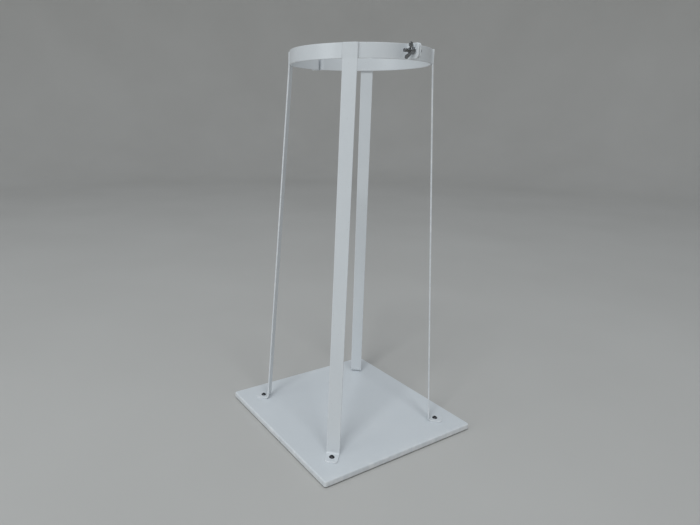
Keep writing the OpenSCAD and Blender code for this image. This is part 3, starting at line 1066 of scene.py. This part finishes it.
def make_wing_casting(place):
    """Hub and wings, remeshed into one casting with blended joints."""
    hub = [(NUT_BORE_R + 0.45, 0.1), (WING_HUB_BASE_R - 0.35, 0.1), (WING_HUB_BASE_R - 0.08, 0.4)]
    hub += [(WING_HUB_BASE_R - 0.15, 1.4), (WING_HUB_TOP_R + 0.02, WING_HUB_H - 0.6)]
    hub += arc_profile((WING_HUB_TOP_R - 0.5, WING_HUB_H - 0.55), 0.5, 0, 90, 5)
    hub += [(NUT_BORE_R + 0.45, WING_HUB_H - 0.1)]
    points, faces = turned(profile_rings(hub), 64, closed=True)
    layers = wing_layers()
    for turn in (0, pi):
        first = len(points)
        for layer in layers:
            points += moved(layer, Matrix.Rotation(turn, 4, "Z"))
        count = len(layers[0])
        faces += grid_faces(len(layers), count, wrap_columns=True, first=first)
        faces.append(tuple(range(first, first + count)))
        faces.append(tuple(range(len(points) - count, len(points))))
    nut = make_object(
        "wing_casting", moved(points, place), faces, NICKEL_DARK_REFLECTION, "wing_nut", ["wing_nut"]
    )
    remesh = nut.modifiers.new("remesh", "REMESH")
    remesh.mode = "VOXEL"
    remesh.voxel_size = WING_VOXEL * MM
    smooth = nut.modifiers.new("smooth", "SMOOTH")
    smooth.iterations = 9
    smooth.factor = 0.5
    settle(nut)
    nut.data.shade_smooth()
    nut.data.materials.clear()
    nut.data.materials.append(NICKEL_DARK_REFLECTION)


def make_wing_nut():
    """Cast wing nut with a tapped bore."""
    place = at_clamp(-1, -FRONT_EAR_FACE - 2 * SEAT_GAP - WASHER_T, flip=True)
    place = place @ Matrix.Rotation(radians(-WING_TURN), 4, "Z")
    make_wing_casting(place)
    rings = thread_rings(0.3, WING_HUB_H - 0.3, NUT_BORE_R + 0.5, 0.44, THREAD_PITCH, 0.6, 0.6)
    rings += profile_rings([(NUT_BORE_R + 0.62, WING_HUB_H - 0.2), (NUT_BORE_R + 0.75, WING_HUB_H / 2)])
    rings += profile_rings([(NUT_BORE_R + 0.62, 0.2)])
    points, faces = turned(rings, 72, closed=True)
    make_object("wing_thread", moved(points, place), faces, NICKEL_DARK_REFLECTION, "wing_nut")


def make_clamps():
    make_bolt("bolt_front", CLAMP_BOLT_L, at_clamp(-1, FRONT_EAR_FACE + WASHER_T), "clamp_bolt")
    make_bolt("bolt_rear", REAR_BOLT_L, at_clamp(1, REAR_EAR_FACE + WASHER_T), "rear_bolt")
    make_washer("washer_bolt_front", at_clamp(-1, FRONT_EAR_FACE), "stand", "clamp_head_washer")
    loose = at_clamp(-1, -FRONT_EAR_FACE - SEAT_GAP, flip=True)
    make_washer("washer_wing", loose, "nut_washer", "clamp_nut_washer")
    make_washer("washer_bolt_rear", at_clamp(1, REAR_EAR_FACE), "stand", "rear_head_washer")
    tight = at_clamp(1, -REAR_EAR_FACE, flip=True)
    make_washer("washer_nut_rear", tight, "stand", "rear_nut_washer")
    make_lock_nut()
    make_wing_nut()


# ---- Stage, light and camera ----


def make_floor():
    """Seamless pale floor that curves up into a wall all round, far from the object."""
    profile = [(100, 0), (1000, 0), (2200, 0)]
    profile += arc_profile((FLOOR_FLAT_R, FLOOR_CURVE_R), FLOOR_CURVE_R, -90, 0, 16)
    profile += [(FLOOR_FLAT_R + FLOOR_CURVE_R, FLOOR_TOP)]
    points, faces = turned(profile_rings(profile), 96)
    mesh = bpy.data.meshes.new("floor")
    mesh.from_pydata([Vector(p) * MM for p in points], [], faces[:-1])
    mesh.shade_smooth()
    mesh.materials.append(PAPER)
    floor = bpy.data.objects.new("floor", mesh)
    bpy.context.scene.collection.objects.link(floor)


def soft_box(name, azimuth, elevation, distance, size, watts, colour):
    """Square soft light. azimuth is 0 at -Y and 90 at -X."""
    middle = Vector((0.0, 0.0, 0.3))
    a, e = radians(azimuth), radians(elevation)
    away = Vector((-sin(a) * cos(e), -cos(a) * cos(e), sin(e)))
    light = bpy.data.lights.new(name, "AREA")
    light.shape = "SQUARE"
    light.size = size
    light.energy = watts
    light.color = colour
    obj = bpy.data.objects.new(name, light)
    bpy.context.scene.collection.objects.link(obj)
    obj.location = middle + away * distance
    obj.rotation_mode = "QUATERNION"
    obj.rotation_quaternion = away.to_track_quat("Z", "Y")


def make_light():
    cool = (0.92, 0.972, 1.0)
    soft_box("key_left", 58, 55, 5.0, 1.1, 62.0, cool)
    soft_box("key_right", 13, 58, 5.0, 1.0, 29.0, cool)
    soft_box("side_left", 90, 12, 4.5, 1.8, 28.0, cool)
    world = bpy.data.worlds.new("studio")
    world.use_nodes = True
    background = world.node_tree.nodes["Background"]
    background.inputs["Color"].default_value = (0.875, 0.937, 1.0, 1)
    background.inputs["Strength"].default_value = 0.42
    bpy.context.scene.world = world
    bpy.context.scene.view_settings.view_transform = "Standard"


def make_camera():
    """Camera where the photograph was taken: bearing and pitch of its axis, roll, lens and framing."""
    bearing, pitch, roll = radians(31.17), radians(-14.13), radians(0.554)
    forward = Vector((sin(bearing) * cos(pitch), cos(bearing) * cos(pitch), sin(pitch)))
    level = Vector((cos(bearing), -sin(bearing), 0))
    upright = level.cross(forward)
    right = level * cos(roll) + upright * sin(roll)
    up = upright * cos(roll) - level * sin(roll)
    camera = bpy.data.cameras.new("photo_camera")
    camera.sensor_width = 36.0
    camera.lens = 27.48
    camera.shift_x = 0.0869
    camera.shift_y = -0.0181
    obj = bpy.data.objects.new("photo_camera", camera)
    bpy.context.scene.collection.objects.link(obj)
    turn = Matrix((right, up, -forward)).transposed().to_4x4()
    obj.matrix_world = Matrix.Translation((-0.6549, -0.8351, 0.6333)) @ turn
    bpy.context.scene.camera = obj


check_sizes()
make_camera()
make_floor()
make_light()
make_board()
make_pads()
make_tee_nuts()
make_foot_screws()
make_legs()
make_welds()
make_ring()
make_clamps()

bpy.context.view_layer.update()
